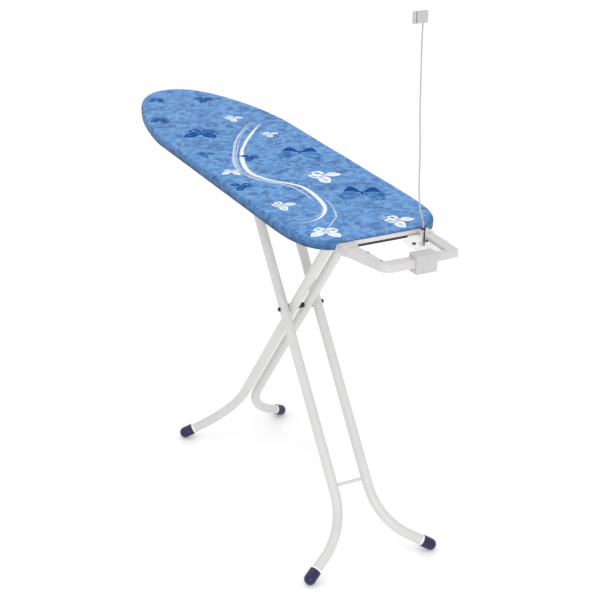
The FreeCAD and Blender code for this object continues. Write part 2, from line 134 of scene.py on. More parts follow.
class StageSettings(bpy.types.PropertyGroup):
    azimuth: FloatProperty(
        name="Azimuth", description="Direction the camera looks in", default=math.radians(61.826),
        subtype="ANGLE"
    )
    elevation: FloatProperty(
        name="Elevation", description="Camera's angle above the horizon", default=math.radians(24.349),
        subtype="ANGLE"
    )
    roll: FloatProperty(
        name="Roll", description="Camera's turn about its own axis", default=math.radians(1.133),
        subtype="ANGLE"
    )
    lens: FloatProperty(name="Lens", description="Focal length in millimetres", default=90.127, min=10)
    place: FloatVectorProperty(
        name="Place", description="Where the camera stands", default=(3.10709, -1.58297, 2.05761),
        unit="LENGTH"
    )
    ambient: FloatProperty(
        name="Ambient", description="Strength of the white surroundings", default=0.95, min=0
    )
    overhead: FloatProperty(
        name="Overhead", description="Power of the overhead panel", default=14, unit="POWER"
    )
    front: FloatProperty(name="Front", description="Power of the front panel", default=34, unit="POWER")


# ---------------------------------------------------------------- meshes


def faces_over(index):
    """The four-sided faces between the rows and columns of a grid of point numbers."""
    four = [index[:-1, :-1], index[1:, :-1], index[1:, 1:], index[:-1, 1:]]
    return np.stack(four, axis=-1).reshape(-1, 4)


def ring_piece(name, grid, finish):
    """A mesh over a grid of points whose last column joins its first."""
    rows, columns = grid.shape[:2]
    index = np.arange(rows * columns).reshape(rows, columns)
    index = np.hstack([index, index[:, :1]])
    return piece_from(name, grid.reshape(-1, 3), faces_over(index), finish)


def piece_from(name, points, corners, finish, uv=None, ink=None):
    """An object at the origin whose mesh has these points and four-sided faces, smooth shaded."""
    mesh = bpy.data.meshes.new(name)
    mesh.vertices.add(len(points))
    mesh.vertices.foreach_set("co", np.ascontiguousarray(points, dtype=np.float32).ravel())
    mesh.loops.add(corners.size)
    mesh.loops.foreach_set("vertex_index", corners.ravel().astype(np.int32))
    mesh.polygons.add(len(corners))
    mesh.polygons.foreach_set("loop_start", np.arange(0, corners.size, 4, dtype=np.int32))
    mesh.polygons.foreach_set("use_smooth", np.ones(len(corners), dtype=bool))
    mesh.update(calc_edges=True)
    if uv is not None:
        layer = mesh.uv_layers.new(name="print_place")
        layer.data.foreach_set("uv", uv.reshape(-1, 2)[corners.ravel()].astype(np.float32).ravel())
    if ink is not None:
        layer = mesh.attributes.new("ink", "FLOAT_COLOR", "POINT")
        layer.data.foreach_set("color", ink.reshape(-1, 4).astype(np.float32).ravel())
    mesh.materials.append(finish)
    made = bpy.data.objects.new(name, mesh)
    bpy.context.scene.collection.objects.link(made)
    return made


def weld(made, distance=0.02 * MM):
    """Joins the points that lie on each other, and turns all faces outwards."""
    work = bmesh.new()
    work.from_mesh(made.data)
    bmesh.ops.remove_doubles(work, verts=work.verts, dist=distance)
    bmesh.ops.dissolve_degenerate(work, edges=work.edges, dist=distance / 2)
    bmesh.ops.recalc_face_normals(work, faces=work.faces)
    work.to_mesh(made.data)
    work.free()


def half_width(x):
    """Half of the board's width at x: a superellipse over the nose, straight sides, and a superellipse over
    each tail corner, which leaves the middle of the tail straight."""
    ahead = np.clip((x - TIP) / NOSE_LENGTH, 0, 1)
    nose = HALF_WIDTH * (1 - (1 - ahead) ** NOSE_POWER) ** (1 / NOSE_ROUNDNESS)
    reach = 1 - np.clip((TAIL - x) / CORNER_ALONG, 0, 1)
    tail = HALF_WIDTH - CORNER_ACROSS + CORNER_ACROSS * (1 - reach**CORNER_POWER) ** (1 / CORNER_POWER)
    return np.minimum(nose, tail)


def outline(steps):
    """Points evenly spaced round the board's outline, from the tip along the near side, with the outward
    direction and the distance along the outline at each."""
    x = TIP + (TAIL - TIP) * (1 - np.cos(np.linspace(0, np.pi, 6001))) / 2
    side = np.column_stack([x, -half_width(x)])
    side = np.vstack([side, [TAIL, 0]])
    run = np.concatenate([[0], np.cumsum(np.hypot(*np.diff(side, axis=0).T))])
    even = np.linspace(0, run[-1], steps + 1)
    near = np.column_stack([np.interp(even, run, side[:, 0]), np.interp(even, run, side[:, 1])])
    far = near[-2:0:-1] * [1, -1]
    loop = np.vstack([near, far])
    along = np.roll(loop, -1, axis=0) - np.roll(loop, 1, axis=0)
    along /= np.linalg.norm(along, axis=1, keepdims=True)
    outward = np.column_stack([along[:, 1], -along[:, 0]])
    distance = np.arange(len(loop)) * run[-1] / steps
    return loop, outward, distance


def spine_under(loop, front=120 * MM, back=100 * MM):
    """The point of the board's middle line from which each outline point's ray starts."""
    return np.column_stack([np.clip(loop[:, 0], TIP + front, TAIL - back), np.zeros(len(loop))])


def smooth_step(value):
    """Goes from 0 to 1 with a level start and end."""
    t = np.clip(value, 0, 1)
    return t * t * (3 - 2 * t)


def cloth_wave(x, y, height):
    """Slow waves of the cloth: two crossed sines whose phase wanders across the board."""
    first = np.sin(2 * np.pi * x / 0.231 + 1.9 * np.sin(2 * np.pi * y / 0.37))
    second = np.sin(2 * np.pi * (y + 0.35 * x) / 0.163 + 1.3 * np.sin(2 * np.pi * x / 0.51))
    return height * (0.6 * first + 0.4 * second)


def cloth_top(points, cover):
    """Height of the cloth over points of the board: level with slow waves, and a quarter circle of the edge
    roll's radius over the last of the way to the outline, measured square to the outline's nearest point."""
    loop, outward, _ = outline(OUTLINE_STEPS)
    nearest = np.array([np.argmin(((loop - point) ** 2).sum(axis=1)) for point in points])
    left = ((loop[nearest] - points) * outward[nearest]).sum(axis=1)
    fall = np.clip(1 - left / cover.edge_roll, 0, 1)
    drop = cover.edge_roll * (1 - np.sqrt(1 - fall**2))
    return COVER_HIGH[2] - drop + cloth_wave(points[:, 0], points[:, 1], cover.waviness)


# ---------------------------------------------------------------- finishes


def add(tree, kind, inputs=None, **settings):
    """A shader node with its settings, its inputs linked where a socket is given and set where a value is."""
    made = tree.nodes.new("ShaderNode" + kind)
    for name, value in settings.items():
        setattr(made, name, value)
    for name, value in (inputs or {}).items():
        if isinstance(value, bpy.types.NodeSocket):
            tree.links.new(value, made.inputs[name])
        else:
            made.inputs[name].default_value = value
    return made


def new_finish(name, **surface):
    """An empty finish: its material, its tree, its shader and the piece's own coordinates."""
    made = bpy.data.materials.new(name)
    made.use_nodes = True
    tree = made.node_tree
    tree.nodes.clear()
    shader = add(tree, "BsdfPrincipled", {word.replace("_", " "): value for word, value in surface.items()})
    add(tree, "OutputMaterial", {"Surface": shader.outputs[0]})
    return made, tree, shader, add(tree, "TexCoord").outputs["Object"]


def per_mm(size):
    """The scale of a noise whose grains are this many millimetres across."""
    return 1000 / size


def bands_per_mm(period):
    """The scale of a wave whose bands are this many millimetres apart."""
    return 2 * math.pi / 20 * 1000 / period


def shade(code, factor):
    """A colour, lighter or darker by a factor."""
    return (*(min(c * factor, 1) for c in tuple(code)[:3]), 1.0)


def printed_cotton(name, cover, ink=None, gloss=0.5, sheen=0.08):
    """Woven cotton, piece-dyed with a clouded ground and screen printed. The clouds are 10 to 40 mm across;
    the weave gives a dry, slightly bright surface; the print is flat ink in the same threads."""
    made, tree, shader, place = new_finish(name, Roughness=0.88, Specular_IOR_Level=gloss, Sheen_Weight=sheen,
                                           Sheen_Roughness=0.45)
    warp = add(tree, "Mapping", {"Vector": place, "Scale": (1.0, 0.8, 1.0)})
    large = add(tree, "TexNoise", {"Vector": warp.outputs[0], "Scale": per_mm(38), "Detail": 5,
                                   "Roughness": 0.62, "Distortion": 0.7})
    small = add(tree, "TexNoise", {"Vector": warp.outputs[0], "Scale": per_mm(13), "Detail": 4,
                                   "Roughness": 0.65, "Distortion": 0.4})
    low = add(tree, "MapRange", {"Value": large.outputs[0], "From Min": 0.40, "From Max": 0.56})
    high = add(tree, "MapRange", {"Value": small.outputs[0], "From Min": 0.44, "From Max": 0.60,
                                  "To Max": 0.85})
    ground = add(tree, "Mix", {0: low.outputs[0], 6: cover.dark, 7: cover.middle}, data_type="RGBA")
    ground = add(tree, "Mix", {0: high.outputs[0], 6: ground.outputs[2], 7: cover.light}, data_type="RGBA")
    # Thread spacing is about 0.6 mm, drawn at 1.2 mm so that it shows.
    warps = add(tree, "TexWave", {"Vector": place, "Scale": bands_per_mm(1.2)}, bands_direction="X")
    wefts = add(tree, "TexWave", {"Vector": place, "Scale": bands_per_mm(1.2)}, bands_direction="Y")
    weave = add(tree, "Math", {0: warps.outputs["Fac"], 1: wefts.outputs["Fac"]}, operation="MULTIPLY")
    bump = add(tree, "Bump", {"Height": weave.outputs[0], "Strength": 0.3, "Distance": 0.12 * MM})
    tree.links.new(bump.outputs[0], shader.inputs["Normal"])
    painted = ground.outputs[2]
    if ink is not None:
        painted = inked(tree, painted, place, ink)
    # Painted shade: the cloth darkens from the roll down to the hem, as the skirt turns away from the light
    # above.
    fall = add(tree, "Attribute", attribute_name="fall", attribute_type="GEOMETRY")
    painted_shade_tint = add(tree, "Mix", {0: fall.outputs["Fac"], 6: (1, 1, 1, 1), 7: linear("#7d8794")},
                 data_type="RGBA")
    painted = add(tree, "Mix", {0: 1.0, 6: painted, 7: painted_shade_tint.outputs[2]}, data_type="RGBA",
                  blend_type="MULTIPLY").outputs[2]
    tree.links.new(painted, shader.inputs["Base Color"])
    return made


def inked(tree, ground, place, ink):
    """The ground with ink over it. The ink attribute holds how much covers a shape's middle, how much its
    margin, and the strength of both; the map's first number goes from the shape's middle to its margin."""
    spread = add(tree, "UVMap", uv_map="print_place")
    reach = add(tree, "SeparateXYZ", {0: spread.outputs[0]})
    amounts = add(tree, "Attribute", attribute_name="ink", attribute_type="GEOMETRY")
    parts = add(tree, "SeparateColor", {0: amounts.outputs["Color"]})
    margin = add(tree, "MapRange", {"Value": reach.outputs[0], "From Min": 0.3, "From Max": 0.42})
    ribs = add(tree, "Math", {0: reach.outputs[1], 1: 3.0}, operation="MULTIPLY")
    ribs = add(tree, "Math", {0: ribs.outputs[0], 1: 1.0}, operation="PINGPONG")
    ribs = add(tree, "MapRange", {"Value": ribs.outputs[0], "From Min": 0.82, "From Max": 0.95})
    line = add(tree, "Math", {0: margin.outputs[0], 1: ribs.outputs[0]}, operation="MAXIMUM")
    cover = add(tree, "Mix", {0: line.outputs[0], 2: parts.outputs[0], 3: parts.outputs[1]},
                data_type="FLOAT")
    worn = add(tree, "TexNoise", {"Vector": place, "Scale": per_mm(9), "Detail": 3})
    worn = add(tree, "MapRange", {"Value": worn.outputs[0], "From Min": 0.3, "From Max": 0.5, "To Min": 0.9})
    total = add(tree, "Math", {0: cover.outputs[0], 1: parts.outputs[2]}, operation="MULTIPLY")
    total = add(tree, "Math", {0: total.outputs[0], 1: worn.outputs[0]}, operation="MULTIPLY")
    return add(tree, "Mix", {0: total.outputs[0], 6: ground, 7: ink}, data_type="RGBA").outputs[2]


def needled_felt(pad):
    """Needle-punched polyester felt: matt, with matted fibres 3 mm long in two directions."""
    made, tree, shader, place = new_finish("needled_felt", Roughness=0.95, Sheen_Weight=0.3,
                                           Sheen_Roughness=0.6)
    along = add(tree, "Mapping", {"Vector": place, "Scale": (1.0, 6.0, 3.0)})
    across = add(tree, "Mapping", {"Vector": place, "Scale": (6.0, 1.0, 3.0)})
    first = add(tree, "TexNoise", {"Vector": along.outputs[0], "Scale": per_mm(3), "Detail": 3})
    second = add(tree, "TexNoise", {"Vector": across.outputs[0], "Scale": per_mm(3), "Detail": 3})
    fibres = add(tree, "Math", {0: first.outputs[0], 1: second.outputs[0]}, operation="MULTIPLY")
    tone = add(tree, "MapRange", {"Value": fibres.outputs[0], "From Min": 0.12, "From Max": 0.4})
    mixed = add(tree, "Mix", {0: tone.outputs[0], 6: shade(pad.felt, 0.72), 7: pad.felt}, data_type="RGBA")
    bump = add(tree, "Bump", {"Height": fibres.outputs[0], "Strength": 0.6, "Distance": 0.5 * MM})
    tree.links.new(mixed.outputs[2], shader.inputs["Base Color"])
    tree.links.new(bump.outputs[0], shader.inputs["Normal"])
    return made


def powder_coat(name, code, roughness=0.4, peel=1.4):
    """Steel with a baked powder coat: an even satin skin with a faint orange peel, 1 to 2 mm across, and
    slow changes of tone where the coat is thicker."""
    made, tree, shader, place = new_finish(name, Roughness=roughness, Coat_Weight=0.25, Coat_Roughness=0.22)
    slow = add(tree, "TexNoise", {"Vector": place, "Scale": per_mm(70), "Detail": 2})
    tone = add(tree, "MapRange", {"Value": slow.outputs[0], "From Min": 0.3, "From Max": 0.7})
    mixed = add(tree, "Mix", {0: tone.outputs[0], 6: shade(code, 0.94), 7: code}, data_type="RGBA")
    skin = add(tree, "TexNoise", {"Vector": place, "Scale": per_mm(peel), "Detail": 1})
    bump = add(tree, "Bump", {"Height": skin.outputs[0], "Strength": 0.12, "Distance": 0.08 * MM})
    tree.links.new(mixed.outputs[2], shader.inputs["Base Color"])
    tree.links.new(bump.outputs[0], shader.inputs["Normal"])
    return made


def bright_zinc(name="bright_zinc_steel"):
    """Bright zinc plate on steel: bluish grey metal with a soft spangle a few millimetres across."""
    made, tree, shader, place = new_finish(name, Metallic=1.0, Roughness=0.34)
    cells = add(tree, "TexVoronoi", {"Vector": place, "Scale": per_mm(5)})
    tone = add(tree, "SeparateColor", {0: cells.outputs["Color"]})
    mixed = add(tree, "Mix", {0: tone.outputs[0], 6: linear("#a7abb0"), 7: linear("#c3c7cb")},
                data_type="RGBA")
    rough = add(tree, "MapRange", {"Value": tone.outputs[1], "To Min": 0.28, "To Max": 0.44})
    tree.links.new(mixed.outputs[2], shader.inputs["Base Color"])
    tree.links.new(rough.outputs[0], shader.inputs["Roughness"])
    return made


def chrome_plate():
    """Chrome plate over polished tube: mirror bright, with a faint haze from handling."""
    made, tree, shader, place = new_finish("chrome_plated_tube", Metallic=1.0)
    haze = add(tree, "TexNoise", {"Vector": place, "Scale": per_mm(12), "Detail": 3})
    rough = add(tree, "MapRange", {"Value": haze.outputs[0], "To Min": 0.06, "To Max": 0.2})
    mixed = add(tree, "Mix", {0: haze.outputs[0], 6: linear("#c9cccf"), 7: linear("#e3e5e7")},
                data_type="RGBA")
    tree.links.new(rough.outputs[0], shader.inputs["Roughness"])
    tree.links.new(mixed.outputs[2], shader.inputs["Base Color"])
    return made


def drawn_wire(name, code, roughness):
    """Drawn steel wire or rod: metal with fine die lines along its length."""
    made, tree, shader, place = new_finish(name, Metallic=1.0)
    lines = add(tree, "Mapping", {"Vector": place, "Scale": (1.0, 1.0, 0.02)})
    lines = add(tree, "TexNoise", {"Vector": lines.outputs[0], "Scale": per_mm(0.5), "Detail": 2})
    tone = add(tree, "Mix", {0: lines.outputs[0], 6: shade(code, 0.8), 7: code}, data_type="RGBA")
    rough = add(tree, "MapRange", {"Value": lines.outputs[0], "To Min": roughness - 0.08,
                                   "To Max": roughness + 0.1})
    tree.links.new(tone.outputs[2], shader.inputs["Base Color"])
    tree.links.new(rough.outputs[0], shader.inputs["Roughness"])
    return made


def black_oxide():
    """Black oxide on steel: dark, slightly brown metal, lighter where handling has rubbed it."""
    made, tree, shader, place = new_finish("black_oxide_steel", Metallic=0.6, Roughness=0.42)
    rubbed = add(tree, "TexNoise", {"Vector": place, "Scale": per_mm(3), "Detail": 4})
    tone = add(tree, "MapRange", {"Value": rubbed.outputs[0], "From Min": 0.45, "From Max": 0.75})
    mixed = add(tree, "Mix", {0: tone.outputs[0], 6: linear("#202023"), 7: linear("#55565a")},
                data_type="RGBA")
    bump = add(tree, "Bump", {"Height": rubbed.outputs[0], "Strength": 0.15, "Distance": 0.1 * MM})
    tree.links.new(mixed.outputs[2], shader.inputs["Base Color"])
    tree.links.new(bump.outputs[0], shader.inputs["Normal"])
    return made


def moulded(name, code, roughness, grain=0.8, depth=0.2, gloss=0.0):
    """Injection-moulded plastic: even colour, a fine spark-eroded grain, and slow changes of gloss where it
    flowed in the mould."""
    made, tree, shader, place = new_finish(name, IOR=1.5, Coat_Weight=gloss, Coat_Roughness=0.12)
    flow = add(tree, "TexNoise", {"Vector": place, "Scale": per_mm(18), "Detail": 2, "Distortion": 0.6})
    mixed = add(tree, "Mix", {0: flow.outputs[0], 6: shade(code, 0.9), 7: shade(code, 1.06)},
                data_type="RGBA")
    rough = add(tree, "MapRange", {"Value": flow.outputs[0], "To Min": roughness - 0.06,
                                   "To Max": roughness + 0.08})
    pits = add(tree, "TexNoise", {"Vector": place, "Scale": per_mm(grain), "Detail": 2})
    bump = add(tree, "Bump", {"Height": pits.outputs[0], "Strength": depth, "Distance": 0.05 * MM})
    tree.links.new(mixed.outputs[2], shader.inputs["Base Color"])
    tree.links.new(rough.outputs[0], shader.inputs["Roughness"])
    tree.links.new(bump.outputs[0], shader.inputs["Normal"])
    return made


def paint(finish, *nodes):
    """Gives parts of the frame this finish."""
    for node in nodes:
        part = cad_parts[node]
        if not part.material_slots:
            part.data.materials.append(finish)
        for slot in part.material_slots:
            slot.material = finish


# ---------------------------------------------------------------- pieces


class BOARD_OT_cover(bpy.types.Operator):
    """Cotton cover, stretched over the board and drawn in under its edge"""

    bl_idname = "board.cover"
    bl_label = "Cover"

    def execute(self, context):
        """Rays from the board's middle line to its outline carry the level top. There the cloth turns down a
        quarter circle, falls as the skirt, turns a small quarter circle and runs back as the hem. The skirt
        is shorter where the iron rest leaves the board, and small gathers grow towards the hem."""
        cover = context.scene.board_cover
        loop, outward, distance = outline(OUTLINE_STEPS)
        spine = spine_under(loop)
        gate = smooth_step((loop[:, 1] - REST_NEAR) / REST_EASE)
        gate = gate * smooth_step((REST_FAR - loop[:, 1]) / REST_EASE) * (loop[:, 0] > REST_FROM)
        depth = cover.skirt_depth - gate * (cover.skirt_depth - cover.tail_depth)
        roll = np.minimum(cover.edge_roll, depth * 0.72)
        turn = np.minimum(cover.hem_roll, depth * 0.2)
        hem = cover.hem_width * (1 - gate * 0.92)
        quarter = np.linspace(0, np.pi / 2, 8)[:, None]
        short = np.linspace(0, np.pi / 2, 5)[1:, None]
        fall = np.linspace(0, 1, 8)[1:, None]
        inner = np.array([16, 12.5, 10])[:, None] * MM * np.ones((1, len(loop)))
        inset = np.vstack([
            inner,
            roll * (1 - np.sin(quarter)),
            0.5 * MM * fall * np.ones(len(loop)),
            0.5 * MM + turn * (1 - np.cos(short)),
            0.5 * MM + turn + hem * np.linspace(0, 1, 4)[1:, None],
        ])
        down = np.vstack([
            inner * 0,
            roll * (1 - np.cos(quarter)),
            roll + fall * (depth - roll - turn),
            depth - turn * (1 - np.sin(short)),
            depth * np.ones((3, 1)),
        ])
        turns = 2 * np.pi * distance / (distance[-1] + distance[1])
        ripple = np.sin(47 * turns + 2.1 * np.sin(7 * turns))
        ripple = ripple + 0.5 * np.sin(89 * turns + 1.7 * np.sin(5 * turns))
        low = np.clip(down / cover.skirt_depth, 0, 1) ** 2.2
        inset = inset + cover.gathers * low * (0.35 - 0.35 * ripple) * (1 - gate)
        edge = loop - outward * inset[..., None]
        rays = np.linspace(0, 1, 15)[:-1, None, None]
        top = spine + rays * (edge[0] - spine)
        flat = np.concatenate([top, edge])
        height = COVER_HIGH[2] - np.concatenate([np.zeros(top.shape[:2]), down])
        hold = 1 - np.concatenate([np.zeros(top.shape[:2]), np.clip(down / depth, 0, 1)])
        height = height + hold * cloth_wave(flat[..., 0], flat[..., 1], cover.waviness)
        grid = np.concatenate([flat, height[..., None]], axis=-1)
        cloth = ring_piece("ironing_cover", grid, printed_cotton("printed_cotton", cover))
        # Painted shade along the cloth's edge: a little over the first 2 mm of the roll, then more and more
        # down the skirt to the hem.
        painted_shade_amount = 0.32 * np.clip(down / (2 * MM), 0, 1) + 0.68 * np.clip(down / cover.skirt_depth, 0, 1) ** 1.2
        painted_shade_amount = np.concatenate([np.zeros(top.shape[:2]), painted_shade_amount])
        layer = cloth.data.attributes.new("fall", "FLOAT", "POINT")
        layer.data.foreach_set("value", painted_shade_amount.astype(np.float32).ravel())
        weld(cloth)
        wall = cloth.modifiers.new("cloth_thickness", "SOLIDIFY")
        wall.thickness = cover.thickness
        wall.offset = -1
        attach(cloth, "board")
        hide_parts("cover")
        return {"FINISHED"}


class BOARD_OT_pad(bpy.types.Operator):
    """Felt pad between the cover and the board"""

    bl_idname = "board.pad"
    bl_label = "Pad"

    def execute(self, context):
        """A closed skin over and under the pad: rays out from the middle line, an edge that turns a half
        ellipse from the top to the underside, and rays back. The top waves a little, clear of the cloth."""
        pad = context.scene.board_pad
        loop, outward, _ = outline(300)
        spine = spine_under(loop)
        middle = (PAD_LOW[2] + PAD_HIGH[2]) / 2
        half = (PAD_HIGH[2] - PAD_LOW[2]) / 2
        turn = np.linspace(np.pi / 2, -np.pi / 2, 11)[:, None] * np.ones((1, len(loop)))
        inset = pad.inset + pad.roll * (1 - np.cos(turn))
        edge = loop - outward * inset[..., None]
        rays = np.linspace(0, 1, 12)[:-1, None, None]
        over = spine + rays * (edge[0] - spine)
        under = spine + rays[::-1] * (edge[-1] - spine)
        flat = np.concatenate([over, edge, under])
        rise = np.concatenate([np.ones(over.shape[:2]), np.sin(turn), -np.ones(under.shape[:2])])
        lumps = cloth_wave(flat[..., 0] * 1.7, flat[..., 1] * 1.7, 0.18 * MM) - 0.3 * MM
        height = middle + half * rise + lumps * (rise > 0)
        grid = np.concatenate([flat, height[..., None]], axis=-1)
        felt = ring_piece("felt_pad", grid, needled_felt(pad))
        weld(felt)
        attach(felt, "board")
        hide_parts("pad")
        return {"FINISHED"}


# Place of each butterfly on the board in mm, its size in mm, -1 if it is mirrored and otherwise 1, and the
# strength of its ink. The right hand side of every butterfly is towards FLOCK_TURN.
FLOCK_TURN = math.radians(61.8)
OPEN_DARK = [
    (-586, -62, 40, 1, 0.95),
    (-416, -124, 46, 1, 1.0),
    (-271, -72, 76, 1, 1.0),
]
TURNED_DARK = [
    (-540, 62, 54, -1, 1.0),
    (-116, -133, 44, 1, 0.75),
    (-47, -38, 48, -1, 1.0),
    (131, -146, 52, -1, 1.0),
]
BOWED_DARK = [
    (-31, 88, 88, 1, 1.0),
    (285, 86, 87, 1, 1.0),
]
OPEN_WHITE = [
    (31, -128, 42, 1, 0.95),
    (466, -108, 62, 1, 1.0),
]
TURNED_WHITE = [
    (-354, 56, 50, 1, 1.0),
    (-192, 83, 44, 1, 0.95),
    (145, 56, 80, 1, 1.0),
    (280, -121, 56, 1, 0.95),
    (473, 67, 68, 1, 1.0),
]

# Root, tip, and the bends of the upper and lower edge of each wing, for a butterfly one across; then how much
# ink covers the wing's middle and its margin. The open and the bowed kind have the same wings on both sides.
OPEN_WINGS = [
    ((0.02, 0.05), (0.44, 0.20), (0.14, 0.66), (0.38, -0.16), 0.15, 1.0),
    ((0.02, -0.06), (0.52, -0.46), (0.62, 0.06), (0.10, -0.52), 0.75, 1.0),
]
BOWED_WINGS = [
    ((0.0, -0.05), (0.50, 0.00), (0.34, 0.86), (0.36, 0.16), 1.0, 1.0),
    ((0.03, -0.12), (0.60, -0.50), (0.66, 0.24), (0.26, -0.66), 0.12, 0.42),
]
TURNED_WINGS = [
    ((0.08, 0.0), (0.60, 0.17), (0.18, 0.50), (0.44, -0.12), 0.65, 1.0),
    ((0.10, 0.02), (-0.32, 0.28), (0.02, 0.64), (-0.26, -0.10), 0.1, 1.0),
    ((0.04, -0.10), (-0.42, 0.0), (-0.26, 0.24), (-0.16, -0.42), 0.2, 1.0),
    ((-0.10, -0.06), (0.24, -0.60), (0.38, 0.02), (-0.16, -0.66), 0.45, 1.0),
]
FEELERS = [
    ((0.01, 0.1), (0.13, 0.38), (0.0, 0.34), (0.05, 0.26), 1.0, 1.0),
]
TURNED_FEELERS = [
    ((-0.30, 0.10), (-0.48, 0.42), (-0.44, 0.20), (-0.38, 0.18), 1.0, 1.0),
    ((-0.34, 0.02), (-0.60, 0.10), (-0.46, 0.12), (-0.46, 0.04), 1.0, 1.0),
]


def bow(root, bend, tip, share):
    """Quadratic curve from the root to the tip, pulled towards bend."""
    return (1 - share) ** 2 * root + 2 * share * (1 - share) * bend + share**2 * tip


def wing(root, tip, upper, lower):
    """A wing lofted from its upper edge to its lower edge, two quadratic curves from root to tip. The map's
    first number is 0 along the wing's middle and 1 at its margin, the second goes from root to tip."""
    out = np.linspace(0, 1, WING_STEPS)[:, None, None]
    across = np.linspace(0, 1, WING_STEPS)[None, :, None]
    root, tip, upper, lower = (np.array(point) for point in (root, tip, upper, lower))
    flat = (1 - across) * bow(root, upper, tip, out) + across * bow(root, lower, tip, out)
    margin = np.maximum(np.abs(2 * across - 1), out**4) * np.ones_like(out)
    uv = np.concatenate([margin, out * np.ones_like(across)], axis=-1)
    return flat, uv


def patch(flat, uv, ink, count):
    """One flat grid as its points, its faces with their points counted from count, its map and its ink."""
    rows, columns = flat.shape[:2]
    index = np.arange(rows * columns).reshape(rows, columns) + count
    inks = np.broadcast_to(ink, (rows, columns, 4)).reshape(-1, 4)
    return flat.reshape(-1, 2), faces_over(index), uv.reshape(-1, 2), inks


def flock(name, kinds, finish, cover):
    """All butterflies of one ink as one mesh on the cloth, each placed, sized and mirrored. A kind is its
    wings, whether they are on both sides, and its places."""
    ahead, aside = math.cos(FLOCK_TURN), math.sin(FLOCK_TURN)
    turn = np.array([[ahead, -aside], [aside, ahead]])
    along = np.linspace(-1, 1, 17)[None, :]
    across = np.linspace(-1, 1, 5)[:, None]
    body = np.stack([0.03 * across * (1 - along**2) ** 0.5, 0.15 * along - 0.03 + 0 * across], axis=-1)
    patches = []
    count = 0
    for wings, both, places in kinds:
        for x, y, size, mirrored, strength in places:
            drawn = []
            for *shape, fill, line in wings:
                flat, uv = wing(*shape)
                for side in (1, -1) if both else (1,):
                    drawn.append((flat * [side, 1], uv, fill, line))
            if both:
                drawn.append((body, np.ones_like(body), 1.0, 1.0))
            for flat, uv, fill, line in drawn:
                placed = (flat * [mirrored, 1]) @ turn.T * size * MM + np.array([x, y]) * MM
                patches.append(patch(placed, uv, (fill, line, strength, 1.0), count))
                count += len(patches[-1][0])
    points, corners, maps, inks = (np.vstack(part) for part in zip(*patches))
    height = cloth_top(points, cover) + BUTTERFLY_LIFT
    return piece_from(name, np.column_stack([points, height]), corners, finish, maps, inks)


RIBBON_STEPS = 240
# The ribbon's bold line and its companions: points along each in mm, its breadth in mm, its strength.
RIBBONS = [
    ([(-292, 116), (-270, 94), (-222, 52), (-171, 11), (-130, -18), (-91, -42), (-15, -75), (58, -89),
      (121, -70), (167, -36), (204, -21), (276, -25), (339, -41), (380, -71), (397, -106),
      (398, -160)], 15, 1.0),
    ([(-345, 124), (-284, 68), (-222, 16), (-158, -28), (-94, -62), (-40, -88), (14, -104), (58, -108),
      (104, -92), (150, -62), (196, -42), (262, -40), (318, -50)], 13, 0.5),
    ([(-352, 128), (-292, 72), (-232, 20), (-167, -26), (-101, -60), (-47, -86), (10, -104), (58, -110),
      (104, -98), (152, -70), (200, -50)], 3.2, 0.95),
    ([(-326, 120), (-266, 62), (-209, 14), (-152, -22), (-90, -56), (-40, -80), (12, -96), (58, -99),
      (98, -86), (146, -54)], 2.6, 0.8),
    ([(262, -16), (300, -14), (340, -22), (372, -33), (398, -45), (414, -61), (433, -78), (449, -96),
      (452, -126)], 3.4, 0.85),
    ([(330, -44), (362, -62), (381, -92), (378, -120), (360, -150)], 2.6, 0.7),
]


def smooth_line(points, count):
    """Catmull-Rom curve through the points, evaluated as one array at evenly spaced parameters."""
    knots = np.array(points, dtype=float)
    knots = np.vstack([2 * knots[0] - knots[1], knots, 2 * knots[-1] - knots[-2]])
    t = np.linspace(0, len(points) - 1 - 1e-9, count)
    i = t.astype(int)
    f = (t - i)[:, None]
    a, b, c, d = knots[i], knots[i + 1], knots[i + 2], knots[i + 3]
    return 0.5 * (2 * b + (c - a) * f + (2 * a - 5 * b + 4 * c - d) * f**2 + (3 * b - a - 3 * c + d) * f**3)


def ribbon_pieces(finish, cover):
    """All ribbon lines as one mesh: each a flat band along its curve that narrows and fades to its ends."""
    across = np.linspace(-1, 1, 7)
    share = np.linspace(0, 1, RIBBON_STEPS)
    swell = np.sin(np.pi * share) ** 0.4 * (0.72 + 0.28 * np.sin(3.1 * np.pi * share + 0.6) ** 2)
    patches = []
    count = 0
    for line, breadth, strength in RIBBONS:
        path = smooth_line(line, RIBBON_STEPS)
        along = np.gradient(path, axis=0)
        along /= np.linalg.norm(along, axis=1, keepdims=True)
        side = np.column_stack([-along[:, 1], along[:, 0]])
        band = path[:, None] + across[None, :, None] * side[:, None] * (breadth / 2 * swell)[:, None, None]
        fade = smooth_step(share / 0.16) * smooth_step((1 - share) / 0.12) * strength
        ink = np.ones((*band.shape[:2], 4))
        ink[..., 2] = (1 - np.abs(across) ** 3)[None, :] * fade[:, None]
        patches.append(patch(band * MM, np.zeros_like(band), ink, count))
        count += band.shape[0] * band.shape[1]
    flat, corners, maps, inks = (np.vstack(part) for part in zip(*patches))
    height = cloth_top(flat, cover) + RIBBON_LIFT
    return piece_from("print_ribbon", np.column_stack([flat, height]), corners, finish, maps, inks)


